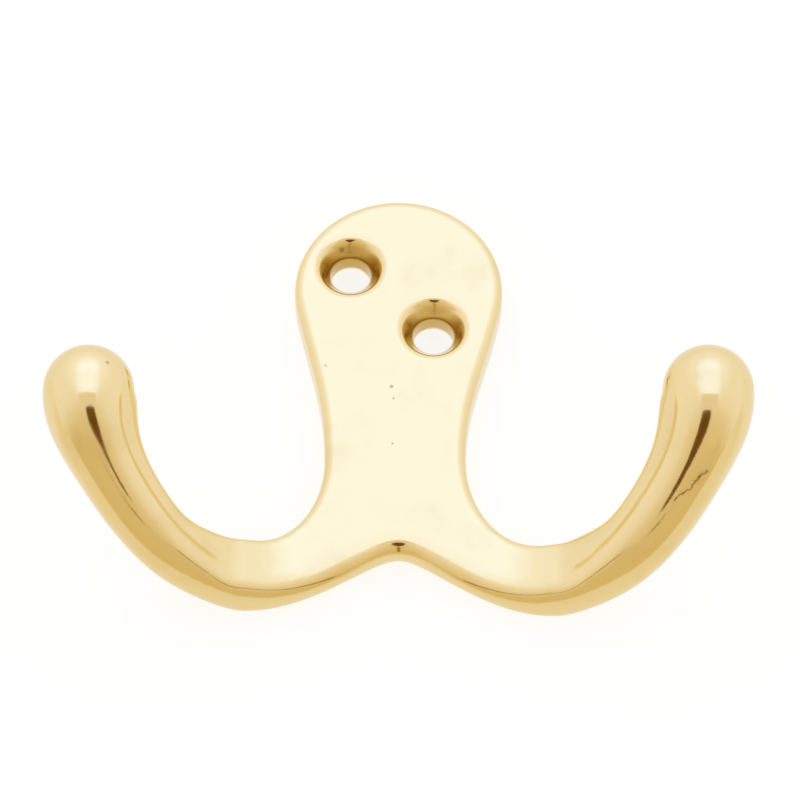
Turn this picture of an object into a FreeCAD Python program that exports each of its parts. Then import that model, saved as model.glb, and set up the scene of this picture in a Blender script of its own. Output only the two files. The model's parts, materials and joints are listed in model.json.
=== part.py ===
"""Double robe hook: one polished brass casting with a round-headed back plate and two swept arms.

Frame, in millimetres: X to the right, Z up, and the back of the plate on the plane Y = 0.
The hook stands out from the wall towards -Y. The origin is the centre of the round head, on the wall.
"""
import FreeCAD, Part
import math
import os

from FreeCAD import Vector

# Overall size, over the ball ends
OVERALL_WIDTH = 72.0
PROJECTION = 24.5

# Back plate, seen from the front
PLATE_THICKNESS = 4.2
HEAD_RADIUS = 11.0
HEAD_TANGENT_DEG = 12.0    # how far below its widest point the head runs into the waist
WAIST_DROP = 20.6          # from the head's centre down to the narrowest place
WAIST_HALF_WIDTH = 7.35
WAIST_SHIFT = -0.35        # the waist of this casting stands a little to the left
CROTCH_WIDTH = 8.35        # curve between the waist and an arm
CROTCH_FALL = 10.45
NOTCH_RISE = 6.1           # the lower edge is this much higher in the middle than at the arm roots

# Arm roots, where the plate ends and the arms begin
ROOT_HEIGHT = 6.55
ROOT_RISE = 1.6            # the front rises this much from the waist to the root
ROOT_LEAN = 0.3            # the right root of this casting is this much lower, the left higher

# Arms
BEND_RADIUS = 3.5          # half the arm's thickness in its bend
BEND_EXTRA_RADIUS = 0.16   # the right arm of this casting is this much stouter, the left slimmer
INNER_SLIM = 0.40          # share by which the arm is slimmer above its middle line, in the bend
TIP_RADIUS = 4.66          # ball end
TIP_RISE = 12.625          # from the middle of the root up to the middle of the ball

# Edges
EDGE_RADIUS = 1.0          # buffed front edge
ROLL_LAND = 0.2            # flat left between the front and back halves of the rolled lower edge

# Countersunk screw holes
HOLE_RADIUS = 2.1
BORE_LENGTH = 2.2
SINK_SLOPE_WIDTH = 1.45    # the countersink is this much larger in radius than the bore
SINK_LIP_RADIUS = 0.5      # softened edge of the countersink
UPPER_HOLE_DEG = 153.0     # where each hole lies round the head's centre
UPPER_MARGIN_WIDTH = 1.74  # metal between the countersink and the head's edge
LOWER_HOLE_DEG = -53.3
LOWER_MARGIN_WIDTH = 1.30

# How far a blank or a cut reaches past what it trims
OVERCUT_LENGTH = 1.0

# Middle line of an arm: shares of the way from the root to the ball in X, outwards and in Z.
# The last share is its growth: 0 is the size at the root, 1 in the bend and 2 at the ball.
ARM_STATIONS = (
    (0.140, 0.044, 0.004, 0.30),
    (0.270, 0.112, 0.034, 0.60),
    (0.420, 0.222, 0.074, 0.85),
    (0.595, 0.395, 0.168, 1.00),
    (0.745, 0.570, 0.324, 1.09),
    (0.878, 0.745, 0.525, 1.29),
    (0.966, 0.885, 0.722, 1.68),
    (1.000, 1.000, 1.000, 2.00),
)

# Sizes that follow from those above
ROOT_SPAN = WAIST_HALF_WIDTH + CROTCH_WIDTH
ROOT_THICKNESS = PLATE_THICKNESS + ROOT_RISE
ROLL_RADIUS = 0.5 * (PLATE_THICKNESS - ROLL_LAND)
SINK_RADIUS = HOLE_RADIUS + SINK_SLOPE_WIDTH
SINK_DEPTH = PLATE_THICKNESS - BORE_LENGTH
CROTCH_DROP = WAIST_DROP + CROTCH_FALL
LOW_DROP = CROTCH_DROP + ROOT_HEIGHT
NOTCH_DROP = LOW_DROP - NOTCH_RISE

BOTH_SIDES = (1, -1)
RIGHT, LEFT = BOTH_SIDES
JOIN_TOLERANCE = 0.0001
FRONT_SAMPLES = 48


def at(x, out, z):
    """A point by its distance out from the wall."""
    return Vector(x, -out, z)


def bezier(*poles):
    """An edge on the Bezier curve with these control points."""
    curve = Part.BezierCurve()
    curve.setPoles(list(poles))
    return curve.toShape()


def closed_wire(edges):
    """One closed wire from edges in any order."""
    return Part.Wire(Part.__sortEdges__(edges))


def crotch_z(side):
    """Height of the lowest point between the waist and the arm."""
    return -CROTCH_DROP - side * ROOT_LEAN


def low_z(side):
    """Height of the lower edge at the arm's root."""
    return -LOW_DROP - side * ROOT_LEAN


def lower_edge(side):
    """The lower outline from the notch in the middle to the arm's root."""
    return bezier(at(0, 0, -NOTCH_DROP),
                  at(side * 0.18 * ROOT_SPAN, 0, -NOTCH_DROP),
                  at(side * 0.55 * ROOT_SPAN, 0, low_z(side)),
                  at(side * ROOT_SPAN, 0, low_z(side)))


def head_end(side):
    """Where the head's arc ends, and the direction in which the outline leaves it."""
    turn = math.radians(HEAD_TANGENT_DEG)
    end = at(side * HEAD_RADIUS * math.cos(turn), 0, -HEAD_RADIUS * math.sin(turn))
    return end, at(-side * math.sin(turn), 0, -math.cos(turn))


def head_edge():
    """The round top of the outline."""
    return Part.Arc(head_end(LEFT)[0], at(0, 0, HEAD_RADIUS), head_end(RIGHT)[0]).toShape()


def shoulder_edge(side):
    """The outline from the head to the narrowest place of the waist."""
    start, leave = head_end(side)
    waist = at(WAIST_SHIFT + side * WAIST_HALF_WIDTH, 0, -WAIST_DROP)
    reach = 0.4 * (start.z - waist.z)
    return bezier(start, start + leave * reach, waist + at(0, 0, reach), waist)


def crotch_edge(side):
    """The outline from the narrowest place of the waist to the arm's root."""
    waist = at(WAIST_SHIFT + side * WAIST_HALF_WIDTH, 0, -WAIST_DROP)
    root = at(side * ROOT_SPAN, 0, crotch_z(side))
    fall = waist.z - root.z
    run = root.x - waist.x
    return bezier(waist, waist - at(0, 0, 0.50 * fall), root - at(0.62 * run, 0, 0), root)


def root_edge(side):
    """The straight end of the outline where an arm is joined."""
    return Part.makeLine(at(side * ROOT_SPAN, 0, crotch_z(side)), at(side * ROOT_SPAN, 0, low_z(side)))


def rim_edges():
    """The outline of the head, the waist and both crotches."""
    return [head_edge()] + [edge(side) for side in BOTH_SIDES for edge in (shoulder_edge, crotch_edge)]


def plate_outline():
    """The closed outline of the plate on the wall plane."""
    ends = [edge(side) for side in BOTH_SIDES for edge in (lower_edge, root_edge)]
    return closed_wire(rim_edges() + ends)


def lower_section():
    """The plate below the waist, seen from above: flat in the middle, rising to the arm roots."""
    base = -LOW_DROP - ROOT_LEAN - OVERCUT_LENGTH
    flat = WAIST_HALF_WIDTH + abs(WAIST_SHIFT)
    knee = 0.5 * (flat + ROOT_SPAN)
    edges = [Part.makeLine(at(-flat, PLATE_THICKNESS, base), at(flat, PLATE_THICKNESS, base)),
             Part.makeLine(at(-ROOT_SPAN, 0, base), at(ROOT_SPAN, 0, base))]
    for side in BOTH_SIDES:
        root = at(side * ROOT_SPAN, ROOT_THICKNESS, base)
        edges.append(bezier(at(side * flat, PLATE_THICKNESS, base), at(side * knee, PLATE_THICKNESS, base), root))
        edges.append(Part.makeLine(at(side * ROOT_SPAN, 0, base), root))
    return closed_wire(edges)


def plate_blank():
    """The plate with square edges: flat above the waist, thicker towards the arm roots below it."""
    outline = Part.Face(plate_outline()).extrude(at(0, ROOT_THICKNESS + OVERCUT_LENGTH, 0))
    lower = Part.Face(lower_section())
    lower = lower.extrude(at(0, 0, -WAIST_DROP - lower.BoundBox.ZMin))
    half = max(HEAD_RADIUS, ROOT_SPAN) + OVERCUT_LENGTH
    upper = Part.makeBox(2.0 * half, PLATE_THICKNESS, WAIST_DROP + HEAD_RADIUS + OVERCUT_LENGTH,
                         at(-half, PLATE_THICKNESS, -WAIST_DROP))
    return outline.common(upper.fuse(lower)).removeSplitter().Solids[0]


def middle_of(edge):
    """The point halfway along an edge."""
    return edge.valueAt(0.5 * (edge.FirstParameter + edge.LastParameter))


def lies_over(edge, guide):
    """Whether an edge follows the guide, seen from the front, and doesn't cross the thickness."""
    ends = [edge.valueAt(edge.FirstParameter), edge.valueAt(edge.LastParameter)]
    if abs(ends[0].y - ends[1].y) > 0.5 * PLATE_THICKNESS:
        return False
    middle = middle_of(edge)
    return guide.distToShape(Part.Vertex(middle.x, 0, middle.z))[0] < 0.001


def plate_body():
    """The plate with its lower edge rolled and its other front edges buffed."""
    blank = plate_blank()
    low = Part.Compound([lower_edge(side) for side in BOTH_SIDES])
    body = blank.makeFillet(ROLL_RADIUS, [edge for edge in blank.Edges if lies_over(edge, low)])
    rim = Part.Compound(rim_edges())
    front = [edge for edge in body.Edges if lies_over(edge, rim) and middle_of(edge).y < -0.5 * PLATE_THICKNESS]
    return body.makeFillet(EDGE_RADIUS, front)


def screw_hole(degrees, margin):
    """What is cut for one screw: a bore, and a countersink with a softened lip."""
    slope = math.atan2(SINK_SLOPE_WIDTH, SINK_DEPTH)
    reach = SINK_LIP_RADIUS * math.tan(0.25 * math.pi - 0.5 * slope)
    top = PLATE_THICKNESS + OVERCUT_LENGTH
    rim = at(HOLE_RADIUS, PLATE_THICKNESS - SINK_DEPTH, 0)
    lip_in = at(SINK_RADIUS - reach * math.sin(slope), PLATE_THICKNESS - reach * math.cos(slope), 0)
    lip_out = at(SINK_RADIUS + reach, PLATE_THICKNESS, 0)
    half_way = 0.75 * math.pi - 0.5 * slope
    lip_side = SINK_LIP_RADIUS * math.cos(half_way)
    lip_mid = lip_out + at(lip_side, SINK_LIP_RADIUS * (math.sin(half_way) - 1.0), 0)
    edges = [Part.makeLine(at(0, -OVERCUT_LENGTH, 0), at(HOLE_RADIUS, -OVERCUT_LENGTH, 0)),
             Part.makeLine(at(HOLE_RADIUS, -OVERCUT_LENGTH, 0), rim),
             Part.makeLine(rim, lip_in),
             Part.Arc(lip_in, lip_mid, lip_out).toShape(),
             Part.makeLine(lip_out, at(lip_out.x, top, 0)),
             Part.makeLine(at(lip_out.x, top, 0), at(0, top, 0)),
             Part.makeLine(at(0, top, 0), at(0, -OVERCUT_LENGTH, 0))]
    tool = Part.Face(Part.Wire(edges)).revolve(Vector(0, 0, 0), Vector(0, 1, 0), 360)
    out = HEAD_RADIUS - margin - SINK_RADIUS
    turn = math.radians(degrees)
    tool.translate(at(out * math.cos(turn), 0, out * math.sin(turn)))
    return tool


def arm_line(side):
    """The arm's middle line and its stations, drawn to the right, from the root to the middle of the ball."""
    root = at(ROOT_SPAN, 0.5 * ROOT_THICKNESS, 0.5 * (crotch_z(side) + low_z(side)))
    tip = at(0.5 * OVERALL_WIDTH - TIP_RADIUS, PROJECTION - TIP_RADIUS,
             TIP_RISE - 0.5 * (CROTCH_DROP + LOW_DROP))
    way = tip - root
    places = [root] + [root + Vector(way.x * x, way.y * out, way.z * up) for x, out, up, _ in ARM_STATIONS]
    line = Part.BSplineCurve()
    line.interpolate(Points=places)
    return line, places


def carried_frames(line, places):
    """The directions across the arm and to its front at each station, carried along without twist.

    The sections swing from the root's upright plane until they stand square across the arm.
    """
    root_way = Vector(1, 0, 0)
    swings = [0.0] + [min(1.0, station[3]) for station in ARM_STATIONS]
    ahead = root_way
    across = Vector(0, 0, 1)
    frames = []
    for place, swing in zip(places, swings):
        tangent = line.tangent(line.parameter(place))[0]
        square = (root_way * (1.0 - swing) + tangent * swing).normalize()
        across = FreeCAD.Rotation(ahead, square).multVec(across)
        ahead = square
        frames.append((across, square.cross(across)))
    return frames


def grown(root_size, bend_size, grow):
    """The arm's half size between its root, its bend and its ball end."""
    if grow < 1.0:
        return root_size + (bend_size - root_size) * grow
    return bend_size + (TIP_RADIUS - bend_size) * (grow - 1.0)


def corner_angles(face, root, across, front):
    """The directions of the root face's corners, in order, from its first corner right round to it again."""
    angles = []
    for vertex in face.OuterWire.OrderedVertexes:
        offset = vertex.Point - root
        angles.append(math.degrees(math.atan2(offset.dot(front), offset.dot(across))))
    first = angles[0]
    way = 1 if (angles[1] - first) % 360.0 < 180.0 else -1
    return [first + way * ((way * (angle - first)) % 360.0) for angle in angles] + [first + way * 360.0]


def ring_point(angle, half_width, half_depth, grow):
    """A point of a section, across and to the front: rounder towards the ball, with its inner edges squarer."""
    inner_power = 2.0 + 5.0 * (1.0 - 0.5 * grow) ** 0.6
    outer_power = 2.0 + 1.3 * max(0.0, 1.0 - grow)
    c = math.cos(math.radians(angle))
    s = math.sin(math.radians(angle))
    power = inner_power if c > 0 else outer_power
    size = (abs(c) ** power + abs(s) ** power) ** (-1.0 / power)
    slim = INNER_SLIM * min(grow ** 1.4, 2.0 - grow) if c > 0 else 0.0
    return half_width * (1.0 - slim) * size * c, half_depth * size * s


def ring(centre, across, front, half_width, half_depth, grow, angles):
    """A closed smooth section of the arm, split at the given directions."""
    points = []
    marks = []
    for start, stop in zip(angles, angles[1:]):
        steps = max(4, round(FRONT_SAMPLES * abs(stop - start) / 360.0))
        marks.append(len(points))
        for step in range(steps):
            angle = start + (stop - start) * step / steps
            u, v = ring_point(angle, half_width, half_depth, grow)
            points.append(centre + across * u + front * v)
    curve = Part.BSplineCurve()
    curve.interpolate(Points=points, PeriodicFlag=True)
    knots = [curve.parameter(points[mark]) for mark in marks] + [curve.LastParameter]
    return Part.Wire([curve.toShape(knots[i], knots[i + 1]) for i in range(len(marks))])


def in_place(shape, side):
    """A shape drawn for the right arm, or its mirror image for the left arm."""
    return shape if side == RIGHT else shape.mirror(Vector(0, 0, 0), Vector(1, 0, 0))


def arm(plate, side):
    """One arm, drawn from the plate's end face to a round section with half a ball on its end."""
    face = in_place(max(plate.Faces, key=lambda candidate: side * candidate.CenterOfMass.x), side)
    line, places = arm_line(side)
    frames = carried_frames(line, places)
    angles = corner_angles(face, places[0], *frames[0])
    bend_size = BEND_RADIUS + side * BEND_EXTRA_RADIUS
    wires = [face.OuterWire]
    for place, (across, front), station in zip(places[1:], frames[1:], ARM_STATIONS):
        grow = station[3]
        half_width = grown(0.5 * ROOT_HEIGHT, bend_size, grow)
        half_depth = grown(0.5 * ROOT_THICKNESS, bend_size, grow)
        wires.append(ring(place, across, front, half_width, half_depth, grow, angles))
    sweep = Part.makeLoft(wires, True, False)
    ball = Part.makeSphere(TIP_RADIUS, places[-1], line.tangent(line.LastParameter)[0], 0, 90, 360)
    return in_place(sweep.fuse(ball, JOIN_TOLERANCE), side)


def hook_casting():
    """The whole casting: plate, screw holes and both arms."""
    plate = plate_body()
    holes = [screw_hole(UPPER_HOLE_DEG, UPPER_MARGIN_WIDTH), screw_hole(LOWER_HOLE_DEG, LOWER_MARGIN_WIDTH)]
    whole = plate.cut(holes)
    for side in BOTH_SIDES:
        whole = whole.fuse(arm(plate, side))
    return whole.Solids[0]


os.makedirs("parts", exist_ok=True)
casting = hook_casting()
print("valid", casting.isValid(), "volume", round(casting.Volume, 1), "box", casting.BoundBox)
casting.exportStep("parts/hook_casting.step")
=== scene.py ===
"""Double robe hook in polished brass: the finished casting, its metal and a plain studio."""
import json
import math

import bpy
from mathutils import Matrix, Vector

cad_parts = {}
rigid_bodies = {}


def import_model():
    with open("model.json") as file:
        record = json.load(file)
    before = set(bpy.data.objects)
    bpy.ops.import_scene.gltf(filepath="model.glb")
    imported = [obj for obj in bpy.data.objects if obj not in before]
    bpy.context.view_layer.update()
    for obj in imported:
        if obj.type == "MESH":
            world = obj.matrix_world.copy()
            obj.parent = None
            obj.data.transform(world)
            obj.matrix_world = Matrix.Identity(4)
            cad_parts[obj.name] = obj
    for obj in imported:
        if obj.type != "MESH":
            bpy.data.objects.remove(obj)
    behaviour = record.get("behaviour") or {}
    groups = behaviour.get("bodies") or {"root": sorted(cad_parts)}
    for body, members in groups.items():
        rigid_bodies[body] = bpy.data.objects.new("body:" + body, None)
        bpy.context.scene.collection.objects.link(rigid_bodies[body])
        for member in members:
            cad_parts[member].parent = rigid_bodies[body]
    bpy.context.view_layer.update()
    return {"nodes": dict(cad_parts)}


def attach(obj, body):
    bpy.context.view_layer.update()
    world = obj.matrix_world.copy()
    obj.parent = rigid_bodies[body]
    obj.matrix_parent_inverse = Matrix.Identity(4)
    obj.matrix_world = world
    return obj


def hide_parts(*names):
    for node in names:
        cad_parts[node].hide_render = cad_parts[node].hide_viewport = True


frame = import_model()
CASTING = frame["nodes"]["hook_casting"]

bl_info = {
    "name": "Double Robe Hook",
    "version": (1, 0, 0),
    "blender": (4, 5, 0),
    "location": "View3D > Sidebar > Robe Hook",
    "description": "Finishes the cast double robe hook and sets it in a plain studio",
    "category": "Object",
}


class CastingSizes(bpy.types.PropertyGroup):
    """How finely the casting is drawn and how far its edges are buffed."""
    grain: bpy.props.FloatProperty(
        name="Grain", description="Distance between the points of the finished surface",
        default=0.00025, min=0.0001, max=0.001, precision=5, subtype="DISTANCE", unit="LENGTH")
    buffing: bpy.props.IntProperty(
        name="Buffing", description="Passes of smoothing that soften the edges, as a buffing wheel does",
        default=14, min=0, max=60)


class BrassFinish(bpy.types.PropertyGroup):
    """The colours and the polish of the brass."""
    brass: bpy.props.FloatVectorProperty(
        name="Brass", description="Colour of the clean polished metal",
        default=(0.91, 0.775, 0.425), size=3, min=0.0, max=1.0, subtype="COLOR")
    tarnish: bpy.props.FloatVectorProperty(
        name="Tarnish", description="Colour of the faint darker clouds",
        default=(0.80, 0.62, 0.28), size=3, min=0.0, max=1.0, subtype="COLOR")
    # Residue: the dull metal in the countersinks, with painted shade of these recesses in its colour
    residue_and_shade: bpy.props.FloatVectorProperty(
        name="Residue", description="Colour of the dull metal in the countersinks",
        default=(0.54, 0.335, 0.040), size=3, min=0.0, max=1.0, subtype="COLOR")
    dirt: bpy.props.FloatVectorProperty(
        name="Dirt", description="Colour of the pits and the scratch",
        default=(0.36, 0.20, 0.03), size=3, min=0.0, max=1.0, subtype="COLOR")
    polish: bpy.props.FloatProperty(
        name="Polish", description="Roughness of the buffed metal",
        default=0.09, min=0.0, max=1.0, subtype="FACTOR")


class StudioLook(bpy.types.PropertyGroup):
    """The view and the light of the studio."""
    distance: bpy.props.FloatProperty(
        name="Camera Distance", description="From the camera to the middle of the picture",
        default=0.55, min=0.1, max=5.0, subtype="DISTANCE", unit="LENGTH")
    tilt: bpy.props.FloatProperty(
        name="Camera Tilt", description="How far below straight on the camera stands",
        default=math.radians(30.0), subtype="ANGLE", unit="ROTATION")
    lens: bpy.props.FloatProperty(
        name="Lens", description="Focal length in millimetres on a 36 mm square sensor",
        default=236.8, min=20.0, max=500.0)
    panel: bpy.props.FloatProperty(
        name="Panel", description="Width and height of the white panel behind the hook",
        default=1.2, min=0.2, max=10.0, subtype="DISTANCE", unit="LENGTH")


class Sock:
    """A node socket that takes part in Python expressions and adds its Math nodes."""

    def __init__(self, tree, socket):
        self.tree = tree
        self.socket = socket

    def math(self, operation, *values):
        """This socket and the other values through a Math node."""
        return self.tree.add("ShaderNodeMath", {"operation": operation}, dict(enumerate((self,) + values)))

    def __add__(self, other):
        return self.math("ADD", other)

    def __radd__(self, other):
        return self.math("ADD", other)

    def __sub__(self, other):
        return self.math("SUBTRACT", other)

    def __rsub__(self, other):
        return self.tree.add("ShaderNodeMath", {"operation": "SUBTRACT"}, {0: other, 1: self})

    def __mul__(self, other):
        return self.math("MULTIPLY", other)

    def __rmul__(self, other):
        return self.math("MULTIPLY", other)

    def most(self, other):
        """The larger of the two."""
        return self.math("MAXIMUM", other)

    def between(self, low, high):
        """0 below low, 1 above high, and smooth in between."""
        return self.tree.add("ShaderNodeMapRange", {"interpolation_type": "SMOOTHSTEP"},
                             {"Value": self, "From Min": low, "From Max": high})


class Tree:
    """The nodes of one material or world."""

    def __init__(self, owner):
        owner.use_nodes = True
        self.nodes = owner.node_tree.nodes
        self.links = owner.node_tree.links
        self.nodes.clear()

    def add(self, kind, settings=None, inputs=None, output=0):
        """A new node: its settings first, then the values or links of its sockets. Returns one output."""
        node = self.nodes.new(kind)
        for name, value in (settings or {}).items():
            if name == "stops":
                self.set_stops(node.color_ramp.elements, value)
            else:
                setattr(node, name, value)
        for name, value in (inputs or {}).items():
            self.feed(node.inputs[name], value)
        return Sock(self, node.outputs[output]) if node.outputs else None

    def set_stops(self, stops, tones):
        """Sets the places and tones of a ramp's stops."""
        while len(stops) < len(tones):
            stops.new(0.5)
        for stop, (place, tone) in zip(stops, tones):
            stop.position = place
            stop.color = colour(tone)

    def feed(self, socket, value):
        """Links a socket, or sets its value."""
        if isinstance(value, Sock):
            self.links.new(value.socket, socket)
        else:
            socket.default_value = value

    def other(self, sock, name):
        """Another output of the node that a socket belongs to."""
        return Sock(self, sock.socket.node.outputs[name])

    def mix(self, share, first, second):
        """Two colours mixed."""
        return self.add("ShaderNodeMix", {"data_type": "RGBA"}, {0: share, 6: first, 7: second}, 2)

    def noise(self, place, scale, detail, rough):
        """Noise that varies with the place."""
        return self.add("ShaderNodeTexNoise", {},
                        {"Vector": place, "Scale": scale, "Detail": detail, "Roughness": rough})


def colour(value):
    """A colour with full alpha for a node socket."""
    return (value[0], value[1], value[2], 1.0)


def toward(azimuth, elevation):
    """The direction of a place in the studio: azimuth 0 is straight out from the wall, 90 to the right."""
    a = math.radians(azimuth)
    e = math.radians(elevation)
    return Vector((math.cos(e) * math.sin(a), -math.cos(e) * math.cos(a), math.sin(e)))


def new_material(name):
    """An empty material and its nodes."""
    material = bpy.data.materials.new(name)
    return material, Tree(material)


# Middles of the screw holes on the wall plane, with the reach round them of the dull metal and the painted
# shade in the countersinks
SINKS = (((-0.00509, 0.0, 0.00259), 0.0037), ((0.00368, 0.0, -0.00493), 0.0031))
# Pits and specks of this casting: place and radius
PITS = (
    ((-0.00074, -0.0042, -0.01218), 0.00022),
    ((-0.00053, -0.0042, -0.01363), 0.00014),
    ((-0.00063, -0.0042, -0.01904), 0.00014),
    ((-0.00766, -0.0042, -0.00964), 0.00014),
    ((-0.00608, -0.00316, 0.00528), 0.00032),
    ((-0.00797, -0.00321, 0.00227), 0.00026),
    ((-0.00267, -0.00263, 0.00237), 0.00026),
    ((0.00126, -0.00262, -0.00480), 0.00022),
    ((0.00622, -0.00278, -0.00514), 0.00022),
    ((-0.02927, -0.02389, -0.02083), 0.00022),
)
# Depths, from the wall, between which the metal in the countersinks turns dull and takes painted shade and,
# at the back, clean again
SINK_MOUTH = (-0.0041, -0.0032)
SINK_BACK = (-0.0008, -0.0002)
# Ends of a rough scratch under the right arm, the way it faces, and how far it wavers from side to side
SCRATCH = (Vector((0.03100, -0.01842, -0.03030)), Vector((0.02800, -0.01625, -0.03232)))
SCRATCH_FACING = toward(0.0, -30.0)
SCRATCH_WAVER = 0.0014
# Share of the distance along its facing that is left out, so that the wavering scratch stays on the metal
SCRATCH_FLATTEN = 0.85
# Where the scratch's line and the smear beside it begin and end to fade, from its middle
SCRATCH_LINE = (0.00004, 0.00020)
SCRATCH_SMEAR = (0.0001, 0.0006)
# Noise in the metal: scale, detail and roughness
CLOUDS = (160.0, 3.0, 0.55)
HAIRS = (1.0, 2.0, 0.6)
WAVES = (130.0, 1.0, 0.4)
TORN = (700.0, 3.0, 0.6)
GRIT = (2400.0, 2.0, 0.6)
# Hairlines are long across the hook and narrow up it
HAIR_STRETCH = (900.0, 900.0, 9000.0)


def spots(tree, place, marks):
    """1 within the marks, each a place and a radius, and 0 elsewhere."""
    total = 0.0
    for centre, radius in marks:
        away = tree.add("ShaderNodeVectorMath", {"operation": "DISTANCE"}, {0: place, 1: centre}, 1)
        total = (1.0 - away.between(0.5 * radius, 1.3 * radius)).most(total)
    return total


def dull_and_shaded_sinks(tree, place):
    """1 deep in the countersinks and bores: dull metal, which the buffing wheel doesn't reach, and painted
    shade of these recesses.
    """
    flat = tree.add("ShaderNodeVectorMath", {"operation": "MULTIPLY"}, {0: place, 1: (1.0, 0.0, 1.0)})
    depth = tree.other(tree.add("ShaderNodeSeparateXYZ", {}, {0: place}), "Y")
    inside = depth.between(*SINK_MOUTH) * (1.0 - depth.between(*SINK_BACK))
    return spots(tree, flat, SINKS) * inside


def ragged_scratch(tree, place):
    """1 along the scratch, which wavers a little, and a faint smear beside it."""
    start, stop = SCRATCH
    facing = SCRATCH_FACING
    way = stop - start
    way = way - SCRATCH_FLATTEN * way.dot(facing) * facing
    torn = tree.other(tree.noise(place, *TORN), "Color")
    shift = tree.add("ShaderNodeVectorMath", {"operation": "MULTIPLY_ADD"},
                     {0: torn, 1: (SCRATCH_WAVER,) * 3, 2: (-0.5 * SCRATCH_WAVER,) * 3})
    moved = tree.add("ShaderNodeVectorMath", {"operation": "ADD"}, {0: place, 1: shift})
    offset = tree.add("ShaderNodeVectorMath", {"operation": "SUBTRACT"}, {0: moved, 1: start})
    depth = tree.add("ShaderNodeVectorMath", {"operation": "DOT_PRODUCT"}, {0: offset, 1: facing}, 1)
    sunk = tree.add("ShaderNodeVectorMath", {"operation": "SCALE"},
                    {0: facing, "Scale": SCRATCH_FLATTEN * depth})
    offset = tree.add("ShaderNodeVectorMath", {"operation": "SUBTRACT"}, {0: offset, 1: sunk})
    run = tree.add("ShaderNodeVectorMath", {"operation": "DOT_PRODUCT"}, {0: offset, 1: way.normalized()}, 1)
    run = run.most(0.0).math("MINIMUM", way.length)
    along = tree.add("ShaderNodeVectorMath", {"operation": "SCALE"}, {0: way.normalized(), "Scale": run})
    away = tree.add("ShaderNodeVectorMath", {"operation": "DISTANCE"}, {0: offset, 1: along}, 1)
    grit = tree.noise(place, *GRIT).between(0.42, 0.62)
    line = (1.0 - away.between(*SCRATCH_LINE)) * (0.70 + 0.30 * grit)
    smear = (1.0 - away.between(*SCRATCH_SMEAR)) * (0.20 * grit)
    return line.most(smear)


# How far the clouds, hairlines, dull metal with its painted shade, pits and scratch show in the roughness,
# colour and height
ROUGHER = {"clouds": 0.05, "hairs": 0.05, "dull_and_shade": 0.14, "pit": 0.25, "scratch": 0.25}
STAINED = {"clouds": 0.30, "dull_and_shade": 0.85, "pit": 0.55, "scratch": 0.95}
DEEPER = {"pit": 0.06, "scratch": 0.25}
HAIR_HEIGHT = 0.012
BUMP = {"Strength": 0.18, "Distance": 0.0003}
LACQUER = {"Coat Weight": 0.6, "Coat Roughness": 0.06, "Coat IOR": 1.5}


def polished_brass():
    """Buffed cast brass: fine hairlines, a few pits, a scratch and faint clouds of tarnish."""
    look = bpy.context.scene.hook_finish
    material, tree = new_material("polished_brass")
    place = tree.add("ShaderNodeTexCoord", output=3)
    clouds = tree.noise(place, *CLOUDS).between(0.50, 0.78)
    dull_and_shade = dull_and_shaded_sinks(tree, place)
    pit = spots(tree, place, PITS)
    scratch = ragged_scratch(tree, place)
    along = tree.add("ShaderNodeMapping", {}, {"Vector": place, "Scale": HAIR_STRETCH})
    hairs = tree.noise(along, *HAIRS)
    waves = tree.noise(place, *WAVES)
    marks = {"clouds": clouds, "hairs": hairs, "dull_and_shade": dull_and_shade, "pit": pit, "scratch": scratch}
    rough = look.polish
    for name, share in ROUGHER.items():
        rough = rough + share * marks[name]
    base = tree.mix(STAINED["clouds"] * clouds, colour(look.brass), colour(look.tarnish))
    # Painted shade: the countersinks and bores are darkened with the residue colour, beside their dull metal
    base = tree.mix(STAINED["dull_and_shade"] * dull_and_shade, base, colour(look.residue_and_shade))
    dirty = (STAINED["pit"] * pit).most(STAINED["scratch"] * scratch)
    base = tree.mix(dirty, base, colour(look.dirt))
    height = waves + HAIR_HEIGHT * hairs - DEEPER["pit"] * pit - DEEPER["scratch"] * scratch
    normal = tree.add("ShaderNodeBump", {}, {"Height": height, **BUMP})
    shader = tree.add("ShaderNodeBsdfPrincipled", {}, {
        "Base Color": base, "Metallic": 1.0, "Roughness": rough, "Normal": normal, **LACQUER})
    tree.add("ShaderNodeOutputMaterial", {}, {"Surface": shader})
    return material


def only(obj):
    """Selects one object and makes it the active one."""
    bpy.ops.object.select_all(action="DESELECT")
    obj.select_set(True)
    bpy.context.view_layer.objects.active = obj


def apply_modifier(obj, kind, **settings):
    """Adds a modifier with these settings and applies it."""
    only(obj)
    bpy.ops.object.modifier_add(type=kind)
    modifier = obj.modifiers[-1]
    for name, value in settings.items():
        setattr(modifier, name, value)
    bpy.ops.object.modifier_apply(modifier=modifier.name)


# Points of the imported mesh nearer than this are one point
WELD_DISTANCE = 0.000002


class FinishCasting(bpy.types.Operator):
    """Draw the casting as one smooth skin with buffed edges"""
    bl_idname = "robe_hook.finish_casting"
    bl_label = "Finish Casting"

    def execute(self, context):
        sizes = context.scene.hook_casting
        only(CASTING)
        bpy.ops.object.duplicate()
        piece = context.view_layer.objects.active
        piece.name = "buffed_casting"
        bpy.ops.object.parent_clear(type="CLEAR_KEEP_TRANSFORM")
        bpy.ops.object.transform_apply(location=True, rotation=True, scale=True)
        bpy.ops.object.mode_set(mode="EDIT")
        bpy.ops.mesh.select_all(action="SELECT")
        bpy.ops.mesh.remove_doubles(threshold=WELD_DISTANCE)
        bpy.ops.object.mode_set(mode="OBJECT")
        apply_modifier(piece, "REMESH", mode="VOXEL", voxel_size=sizes.grain, adaptivity=0.0,
                       use_smooth_shade=True)
        apply_modifier(piece, "SMOOTH", factor=0.5, iterations=sizes.buffing)
        piece.data.materials.clear()
        piece.data.materials.append(polished_brass())
        bpy.ops.object.shade_smooth()
        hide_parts("hook_casting")
        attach(piece, "root")
        return {"FINISHED"}


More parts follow.
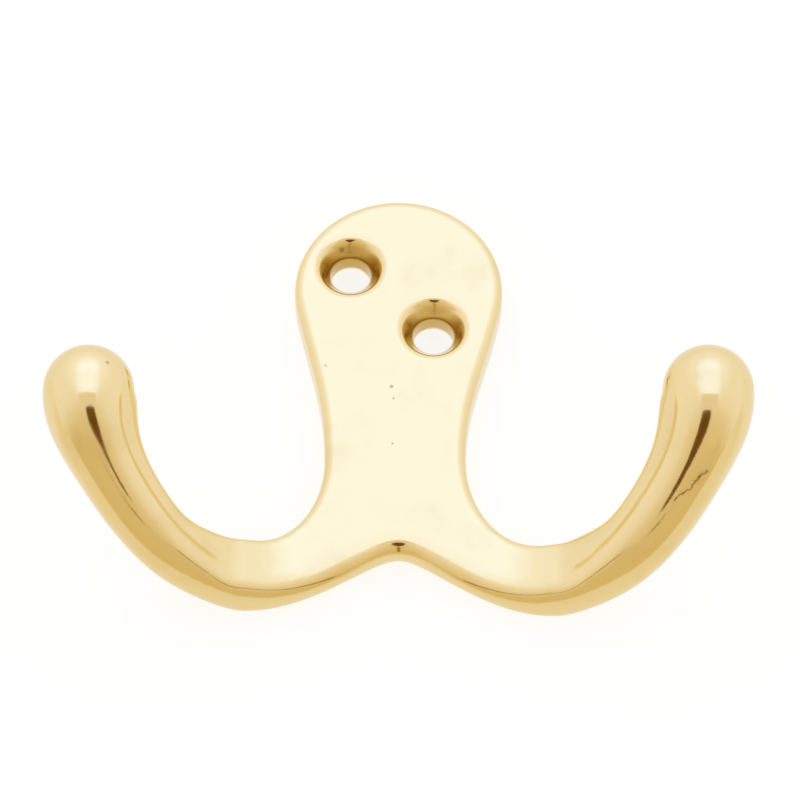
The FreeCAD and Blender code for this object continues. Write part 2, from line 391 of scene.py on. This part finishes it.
# The white panel: its board and its glow to the camera
BOARD = (0.45, 0.45, 0.45)
BOARD_GLOW = (1.0, 0.998, 0.994)
BOARD_GLOW_STRENGTH = 0.765
# Tones of the panel in the metal, a painted reflection with painted shade of the hook and its warm bounce:
# above, below the arms and at the foot, with the heights between them
PAINTED_REFLECTION_ABOVE = (0.92, 0.85, 0.76)
PAINTED_SHADE_BELOW = (0.87, 0.76, 0.58)
PAINTED_SHADE_AT_FOOT = (0.74, 0.57, 0.29)
PAINTED_SHADE_HEIGHTS = (-0.045, -0.025)
FOOT_SHADE_HEIGHTS = (-0.042, -0.035)
# How fast the painted shade at the foot falls away to the sides
FOOT_SHADE_SLOPE = 0.72


def white_panel():
    """Matt board, white to the camera, a little warmer in the metal with painted shade below the arms and at
    the foot, and clear when seen from behind.
    """
    material, tree = new_material("white_panel")
    rays = tree.add("ShaderNodeLightPath")
    mirrored = tree.other(rays, "Is Glossy Ray").most(tree.other(rays, "Is Transmission Ray"))
    board = tree.add("ShaderNodeBsdfDiffuse", {}, {"Color": colour(BOARD)})
    glow = tree.add("ShaderNodeEmission", {},
                    {"Color": colour(BOARD_GLOW), "Strength": BOARD_GLOW_STRENGTH * rays})
    seen = tree.add("ShaderNodeAddShader", {}, {0: board, 1: glow})
    parts = tree.add("ShaderNodeSeparateXYZ", {}, {0: tree.add("ShaderNodeTexCoord", output=3)})
    height = tree.other(parts, "Z")
    # Painted shade: in the metal the panel turns darker and warmer below the arms and at the foot, standing
    # in for the hook's shadow and bounce
    foot_shade = 1.0 - (height + FOOT_SHADE_SLOPE * parts.math("ABSOLUTE")).between(*FOOT_SHADE_HEIGHTS)
    tone = tree.mix(height.between(*PAINTED_SHADE_HEIGHTS), colour(PAINTED_SHADE_BELOW), colour(PAINTED_REFLECTION_ABOVE))
    tone = tree.mix(foot_shade, tone, colour(PAINTED_SHADE_AT_FOOT))
    painted_reflection = tree.add("ShaderNodeEmission", {}, {"Color": tone, "Strength": 1.0})
    front = tree.add("ShaderNodeMixShader", {}, {0: mirrored, 1: seen, 2: painted_reflection})
    clear = tree.add("ShaderNodeBsdfTransparent")
    behind = tree.add("ShaderNodeNewGeometry", output=6)
    both = tree.add("ShaderNodeMixShader", {}, {0: behind, 1: front, 2: clear})
    tree.add("ShaderNodeOutputMaterial", {}, {"Surface": both})
    return material


# How the studio's light looks in the metal, from its darkest card to the middle of the soft box
LIGHT_TONES = (
    (0.20, (0.14, 0.055, 0.003)),
    (0.45, (0.39, 0.215, 0.02)),
    (0.63, (0.62, 0.455, 0.17)),
    (0.745, (0.80, 0.655, 0.43)),
    (0.845, (0.94, 0.87, 0.82)),
    (0.90, (1.015, 1.01, 1.10)),
    (0.965, (1.10, 1.205, 1.63)),
)
# Brightness of the tent by height, from straight below to straight above
TENT_TONES = tuple((height, (tone, tone, tone)) for height, tone in (
    (0.0, 0.66), (0.017, 0.69), (0.067, 0.735), (0.146, 0.755), (0.29, 0.826), (0.456, 0.85), (1.0, 0.85)))
# Patches of the soft box: azimuth, elevation, inner and outer angle, and brightness
SOFT_BOX = ((0.0, 30.0, 15.0, 62.0, 0.905), (0.0, 30.0, 12.0, 30.0, 0.965), (0.0, -2.0, 8.0, 36.0, 0.95))
# The table below: the heights and the distances out between which it ends, and its brightness
TABLE_HEIGHTS = (-0.82, -0.70)
TABLE_OUT = (0.25, 0.27)
TABLE_TONE = 0.70
# An upright card: half width, lower and upper edge, softness, and its brightness
CARD = (0.42, -0.62, -0.30, 0.012)
CARD_TONE = 0.785


def studio_light(tree):
    """The light from each direction: a tent with a large soft box, a darker table and an upright card."""
    way = tree.add("ShaderNodeTexCoord", output=0)
    parts = tree.add("ShaderNodeSeparateXYZ", {}, {0: way})
    up = tree.other(parts, "Z")
    out = tree.other(parts, "Y") * -1.0
    aside = parts.math("DIVIDE", out.most(0.05)).math("ABSOLUTE")

    def patch(azimuth, elevation, inner, outer):
        """1 within the inner angle of a direction, 0 beyond the outer one."""
        cosine = tree.add("ShaderNodeVectorMath", {"operation": "DOT_PRODUCT"},
                          {0: way, 1: toward(azimuth, elevation)}, 1)
        return cosine.between(math.cos(math.radians(outer)), math.cos(math.radians(inner)))

    def blend(level, mask, target):
        """The level moved towards a target where the mask is 1."""
        return level + mask * (target - level)

    def card(half_width, low, high, soft):
        """An upright card in front of the tent, between two heights."""
        sides = 1.0 - aside.between(half_width, half_width + soft)
        return sides * up.between(low - soft, low) * (1.0 - up.between(high, high + soft))

    level = tree.add("ShaderNodeValToRGB", {"stops": TENT_TONES}, {0: up * 0.5 + 0.5})
    for azimuth, elevation, inner, outer, tone in SOFT_BOX:
        level = blend(level, patch(azimuth, elevation, inner, outer), tone)
    below = 1.0 - up.between(*TABLE_HEIGHTS)
    level = blend(level, below * (1.0 - out.between(*TABLE_OUT)), TABLE_TONE)
    level = blend(level, card(*CARD), CARD_TONE)
    return tree.add("ShaderNodeValToRGB", {"stops": LIGHT_TONES}, {0: level})


# The dark slit of the tent and a seam below it, in its middle plane: distance out, height and half width
SLIT = ((0.044, -0.094, 0.003), (0.060, -0.106, 0.014), (0.080, -0.121, 0.022), (0.118, -0.147, 0.033),
        (0.180, -0.172, 0.046), (0.240, -0.196, 0.054), (0.262, -0.204, 0.044), (0.272, -0.207, 0.022))
SEAM = ((0.002, -0.042, 0.0007), (0.020, -0.060, 0.0022), (0.040, -0.125, 0.0075), (0.058, -0.165, 0.011),
        (0.096, -0.280, 0.015))
SLIT_TONE = (0.15, 0.06, 0.004)
SEAM_TONE = (0.36, 0.21, 0.04)


def cloth(name, tone):
    """Cloth of the tent that shows only in the metal."""
    material, tree = new_material(name)
    rays = tree.add("ShaderNodeLightPath")
    dark = tree.add("ShaderNodeEmission", {}, {"Color": colour(tone), "Strength": 1.0})
    clear = tree.add("ShaderNodeBsdfTransparent")
    both = tree.add("ShaderNodeMixShader", {}, {0: tree.other(rays, "Is Glossy Ray"), 1: clear, 2: dark})
    tree.add("ShaderNodeOutputMaterial", {}, {"Surface": both})
    return material


def strip(name, stations, material):
    """A strip in the tent's middle plane that follows the stations."""
    rows = len(stations) - 1
    bpy.ops.object.select_all(action="DESELECT")
    bpy.ops.mesh.primitive_grid_add(x_subdivisions=1, y_subdivisions=rows, size=2.0)
    piece = bpy.context.view_layer.objects.active
    piece.name = name
    for point in piece.data.vertices:
        out, height, half = stations[round((point.co.y + 1.0) * 0.5 * rows)]
        point.co = (point.co.x * half, -out, height)
    piece.data.materials.append(material)


# Strength of the plain light on matt surfaces; the camera sees it at full strength
PLAIN_LIGHT = 0.55


def studio_world():
    """The studio in the metal, plain soft light on all else, and white behind the hook."""
    world = bpy.data.worlds.new("studio")
    bpy.context.scene.world = world
    tree = Tree(world)
    rays = tree.add("ShaderNodeLightPath")
    mirrored = tree.other(rays, "Is Glossy Ray").most(tree.other(rays, "Is Transmission Ray"))
    level = PLAIN_LIGHT + (1.0 - PLAIN_LIGHT) * rays
    plain = tree.add("ShaderNodeBackground", {}, {"Color": colour((1.0, 1.0, 1.0)), "Strength": level})
    tent = tree.add("ShaderNodeBackground", {}, {"Color": studio_light(tree), "Strength": 1.0})
    both = tree.add("ShaderNodeMixShader", {}, {0: mirrored, 1: plain, 2: tent})
    tree.add("ShaderNodeOutputWorld", {}, {"Surface": both})


# The middle of the picture, the gap between the hook and the panel, and the camera's sensor and nearest view
PICTURE_MIDDLE = Vector((0.00015, -0.0040, -0.0137))
PANEL_GAP = 0.00005
SENSOR_WIDTH = 36.0
NEAREST_VIEW = 0.01


class SetStudio(bpy.types.Operator):
    """Put a white panel behind the hook, with soft light and a camera below straight on"""
    bl_idname = "robe_hook.set_studio"
    bl_label = "Set Studio"

    def execute(self, context):
        look = context.scene.hook_studio
        bpy.ops.object.select_all(action="DESELECT")
        bpy.ops.mesh.primitive_plane_add(size=look.panel, location=(0.0, PANEL_GAP, PICTURE_MIDDLE.z),
                                         rotation=(math.radians(90.0), 0.0, 0.0))
        panel = context.view_layer.objects.active
        panel.name = "white_panel"
        bpy.ops.object.transform_apply(location=True, rotation=True, scale=True)
        panel.data.materials.append(white_panel())
        strip("tent_slit", SLIT, cloth("slit_cloth", SLIT_TONE))
        strip("tent_seam", SEAM, cloth("seam_cloth", SEAM_TONE))
        studio_world()
        away = Vector((0.0, -math.cos(look.tilt), -math.sin(look.tilt)))
        bpy.ops.object.camera_add(location=PICTURE_MIDDLE + look.distance * away)
        camera = context.view_layer.objects.active
        camera.rotation_euler = (-away).to_track_quat("-Z", "Y").to_euler()
        camera.data.lens = look.lens
        camera.data.sensor_width = SENSOR_WIDTH
        camera.data.clip_start = NEAREST_VIEW
        context.scene.camera = camera
        context.scene.view_settings.view_transform = "Standard"
        return {"FINISHED"}


class RobeHookPanel(bpy.types.Panel):
    """The steps of the robe hook, in order"""
    bl_idname = "VIEW3D_PT_robe_hook"
    bl_label = "Double Robe Hook"
    bl_space_type = "VIEW_3D"
    bl_region_type = "UI"
    bl_category = "Robe Hook"

    def draw(self, context):
        scene = context.scene
        for group, names in ((scene.hook_casting, ("grain", "buffing")),
                             (scene.hook_finish, ("brass", "tarnish", "residue_and_shade", "dirt", "polish")),
                             (scene.hook_studio, ("distance", "tilt", "lens", "panel"))):
            for name in names:
                self.layout.prop(group, name)
        for step in STEPS:
            self.layout.operator(step.bl_idname)


STEPS = (FinishCasting, SetStudio)
GROUPS = {"hook_casting": CastingSizes, "hook_finish": BrassFinish, "hook_studio": StudioLook}


def register():
    for name, group in GROUPS.items():
        bpy.utils.register_class(group)
        setattr(bpy.types.Scene, name, bpy.props.PointerProperty(type=group))
    for cls in STEPS + (RobeHookPanel,):
        bpy.utils.register_class(cls)


def unregister():
    for cls in reversed(STEPS + (RobeHookPanel,)):
        bpy.utils.unregister_class(cls)
    for name, group in GROUPS.items():
        delattr(bpy.types.Scene, name)
        bpy.utils.unregister_class(group)


def main():
    register()
    bpy.ops.robe_hook.finish_casting()
    bpy.ops.robe_hook.set_studio()


if __name__ == "__main__":
    main()
